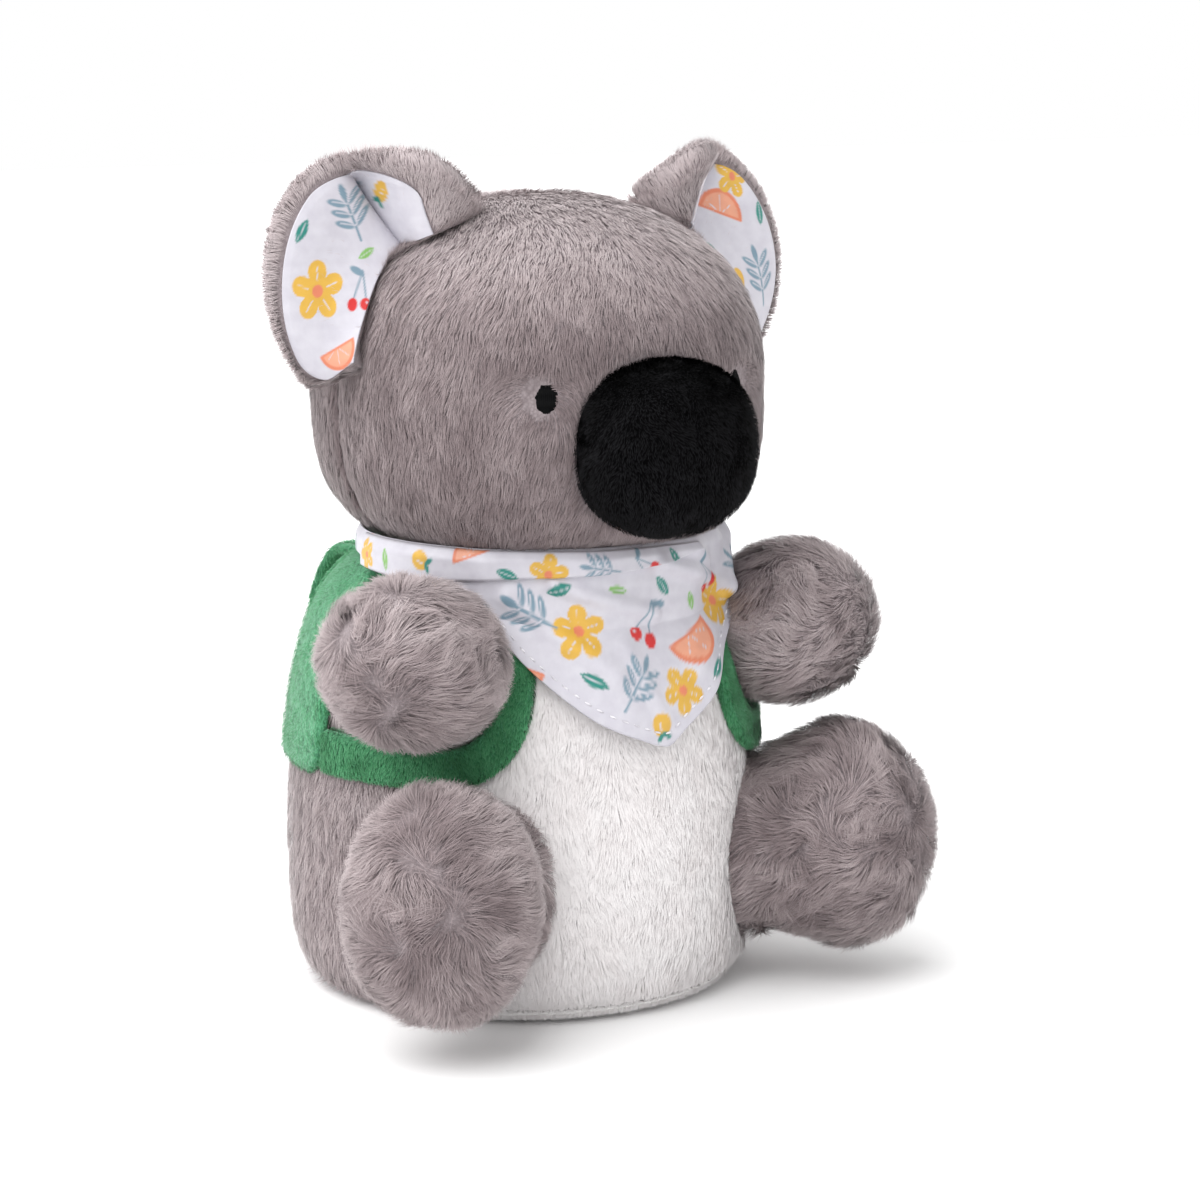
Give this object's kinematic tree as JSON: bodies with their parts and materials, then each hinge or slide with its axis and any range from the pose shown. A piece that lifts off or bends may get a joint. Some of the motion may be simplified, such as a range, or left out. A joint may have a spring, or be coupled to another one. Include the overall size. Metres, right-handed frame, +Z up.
{
  "type": "plush toy",
  "caption": "Seated plush koala, grey with a white belly and large round ears, wearing a fruit-print bandana and a small green backpack with a flap",
  "frame": {"origin": "Centre of the flat seat, on the surface that the toy sits on", "axes": "+Z up, the koala faces -Y, +X is the koala's own left"},
  "size_m": [0.1757, 0.1668, 0.2215],
  "materials": {
    "grey_plush": "matte",
    "white_plush": "matte",
    "black_velour": "matte",
    "black_thread": "satin",
    "printed_satin": "satin",
    "green_minky": "matte",
    "fibre_filling": "matte",
    "pellet_cloth": "matte",
    "hook_and_loop": "matte"
  },
  "bodies": {
    "torso": {"torso_back": "grey_plush", "belly_panel": "white_plush", "seat_panel": "grey_plush", "torso_filling": "fibre_filling", "pellet_bag": "pellet_cloth", "bandana": "printed_satin", "backpack_panel": "green_minky", "backpack_pouch": "green_minky", "pouch_loop_patch": "hook_and_loop", "right_strap": "green_minky", "left_strap": "green_minky"},
    "head": {"head_front": "grey_plush", "head_back": "grey_plush", "head_filling": "fibre_filling", "nose_cover": "black_velour", "nose_filling": "fibre_filling", "right_eye": "black_thread", "left_eye": "black_thread"},
    "right_ear": {"right_ear_back": "grey_plush", "right_ear_lining": "printed_satin"},
    "left_ear": {"left_ear_back": "grey_plush", "left_ear_lining": "printed_satin"},
    "right_arm": {"right_arm": "grey_plush", "right_arm_filling": "fibre_filling"},
    "left_arm": {"left_arm": "grey_plush", "left_arm_filling": "fibre_filling"},
    "right_leg": {"right_leg": "grey_plush", "right_leg_filling": "fibre_filling"},
    "left_leg": {"left_leg": "grey_plush", "left_leg_filling": "fibre_filling"},
    "backpack_flap": {"backpack_flap": "green_minky", "flap_hook_patch": "hook_and_loop"}
  },
  "joints": [
    {"name": "head_turn", "type": "hinge", "parent": "torso", "child": "head", "pos_m": [0, -0.0085, 0.117], "axis": [0, 0, 1], "range_deg": [-25, 25], "stiffness_Nm_per_rad": 0.05},
    {"name": "right_arm_swing", "type": "hinge", "parent": "torso", "child": "right_arm", "pos_m": [-0.03993, -0.03009, 0.093], "axis": [-0.6018, 0.7986, 0], "range_deg": [-3, 12], "stiffness_Nm_per_rad": 0.03},
    {"name": "left_arm_swing", "type": "hinge", "parent": "torso", "child": "left_arm", "pos_m": [0.03993, -0.03009, 0.093], "axis": [-0.6018, -0.7986, 0], "range_deg": [-3, 12], "stiffness_Nm_per_rad": 0.03},
    {"name": "right_leg_swing", "type": "hinge", "parent": "torso", "child": "right_leg", "pos_m": [-0.03994, -0.04136, 0.0365], "axis": [0, 0, 1], "range_deg": [-12, 12], "stiffness_Nm_per_rad": 0.03},
    {"name": "left_leg_swing", "type": "hinge", "parent": "torso", "child": "left_leg", "pos_m": [0.04592, -0.0346, 0.0365], "axis": [0, 0, 1], "range_deg": [-12, 12], "stiffness_Nm_per_rad": 0.03},
    {"name": "right_ear_fold", "type": "hinge", "parent": "head", "child": "right_ear", "pos_m": [-0.04152, -0.00669, 0.18854], "axis": [-0.6341, 0.0439, -0.772], "range_deg": [-10, 10], "stiffness_Nm_per_rad": 0.005},
    {"name": "left_ear_fold", "type": "hinge", "parent": "head", "child": "left_ear", "pos_m": [0.04152, -0.00669, 0.18854], "axis": [0.6341, 0.0439, -0.772], "range_deg": [-10, 10], "stiffness_Nm_per_rad": 0.005},
    {"name": "flap_lift", "type": "hinge", "parent": "torso", "child": "backpack_flap", "pos_m": [0, 0.0529, 0.1092], "axis": [1, 0, 0], "range_deg": [0, 88], "stiffness_Nm_per_rad": 0.001}
  ]
}
